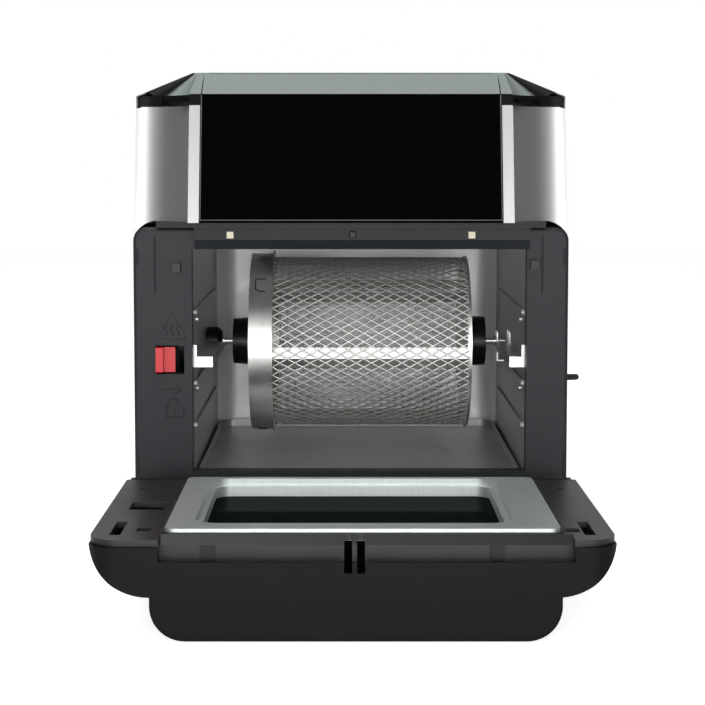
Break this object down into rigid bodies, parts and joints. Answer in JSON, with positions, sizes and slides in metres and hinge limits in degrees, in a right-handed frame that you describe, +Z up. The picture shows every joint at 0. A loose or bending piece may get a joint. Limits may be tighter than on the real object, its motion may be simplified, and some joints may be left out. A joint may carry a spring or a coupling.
{
  "type": "rotisserie oven",
  "caption": "Countertop oven with a fold-down door, a see-through rotating basket on a driven spit, a fan and heater in the roof and a leaning glass control face.",
  "frame": {"origin": "on the standing surface, under the middle of the box around body and open door, without the lead", "axes": "+X to the user's right, +Y to the back, +Z up"},
  "size_m": [0.3971, 0.6811, 0.364],
  "materials": {
    "frame_plastic": "fine matte",
    "rubber_foot": "matte",
    "black_plastic": "satin",
    "cream_plastic": "satin",
    "red_plastic": "satin gloss",
    "gloss_black": "gloss",
    "brushed_trim": "brushed",
    "black_glass": "printed black on the back",
    "circuit_board": "satin",
    "gloss_skin": "gloss black",
    "steel_sheet": "plain sheet",
    "bright_steel": "bright",
    "cavity_steel": "satin",
    "tray_coat": "coated",
    "aluminium_fan": "plain",
    "heater_tube": "oxidised",
    "basket_steel": "bright satin",
    "satin_plate": "satin",
    "rubber_seal": "matte",
    "clear_glass": "clear, tinted",
    "cord_rubber": "matte"
  },
  "bodies": {
    "oven": {"base_pan": "frame_plastic", "feet": "rubber_foot", "front_frame": "frame_plastic", "upper_frame": "frame_plastic", "locating_pegs": "black_plastic", "strike_pads": "cream_plastic", "door_switch": "black_plastic", "control_housing": "gloss_black", "trim_left": "brushed_trim", "trim_right": "brushed_trim", "control_glass": "black_glass", "control_board": "circuit_board", "side_panel_left": "gloss_skin", "side_panel_right": "gloss_skin", "shoulder_cap": "gloss_skin", "top_cover": "gloss_skin", "back_panel": "steel_sheet", "screws": "bright_steel", "cavity_wall_left": "cavity_steel", "cavity_wall_right": "cavity_steel", "cavity_back_wall": "cavity_steel", "cavity_roof": "cavity_steel", "cavity_floor": "cavity_steel", "drip_tray": "tray_coat", "rail_left": "bright_steel", "rail_right": "bright_steel", "fan_motor": "steel_sheet", "heating_element": "heater_tube", "heater_brackets": "steel_sheet", "spit_motor": "steel_sheet", "spit_rest": "bright_steel", "hinge_brackets": "steel_sheet", "hinge_pins": "bright_steel", "strain_relief": "cord_rubber", "power_cord": "cord_rubber", "cord_coil": "cord_rubber", "cord_tie": "black_plastic", "plug": "cord_rubber"},
    "door": {"door_shell": "frame_plastic", "door_panel": "frame_plastic", "door_plate": "satin_plate", "door_gasket": "rubber_seal", "door_glass_inner": "clear_glass", "door_glass_outer": "clear_glass", "door_handle": "black_plastic", "door_magnets": "black_plastic"},
    "basket": {"basket_mesh": "basket_steel", "basket_bars": "basket_steel", "basket_lid": "basket_steel", "basket_end": "basket_steel", "hub_left": "black_plastic", "hub_right": "black_plastic", "spit_stubs": "bright_steel"},
    "drive": {"drive_shaft": "bright_steel", "drive_socket": "black_plastic"},
    "fan": {"fan_impeller": "aluminium_fan", "cooling_fan": "aluminium_fan", "fan_shaft": "bright_steel"},
    "catch": {"catch_slider": "red_plastic"},
    "plunger": {"switch_plunger": "black_plastic"}
  },
  "joints": [
    {"name": "door_hinge", "type": "hinge", "parent": "oven", "child": "door", "pos_m": [0, -0.0505, 0.036], "axis": [-1, 0, 0], "range_deg": [0, 90]},
    {"name": "basket_spin", "type": "hinge", "parent": "oven", "child": "basket", "pos_m": [0, 0.1095, 0.1464], "axis": [1, 0, 0], "continuous": true},
    {"name": "drive_spin", "type": "hinge", "parent": "oven", "child": "drive", "pos_m": [-0.1206, 0.1095, 0.1464], "axis": [1, 0, 0], "continuous": true},
    {"name": "fan_spin", "type": "hinge", "parent": "oven", "child": "fan", "pos_m": [0.0064, 0.1095, 0.26], "axis": [0, 0, 1], "continuous": true},
    {"name": "catch_slide", "type": "slide", "parent": "oven", "child": "catch", "axis": [1, 0, 0], "range_m": [0, 0.006], "stiffness_N_per_m": 200, "springref_m": -0.002},
    {"name": "switch_press", "type": "slide", "parent": "oven", "child": "plunger", "axis": [0, 1, 0], "range_m": [0, 0.004], "stiffness_N_per_m": 200, "springref_m": -0.001}
  ],
  "couplings": [
    {"joint": "drive_spin", "follows": "basket_spin", "ratio": 1}
  ]
}
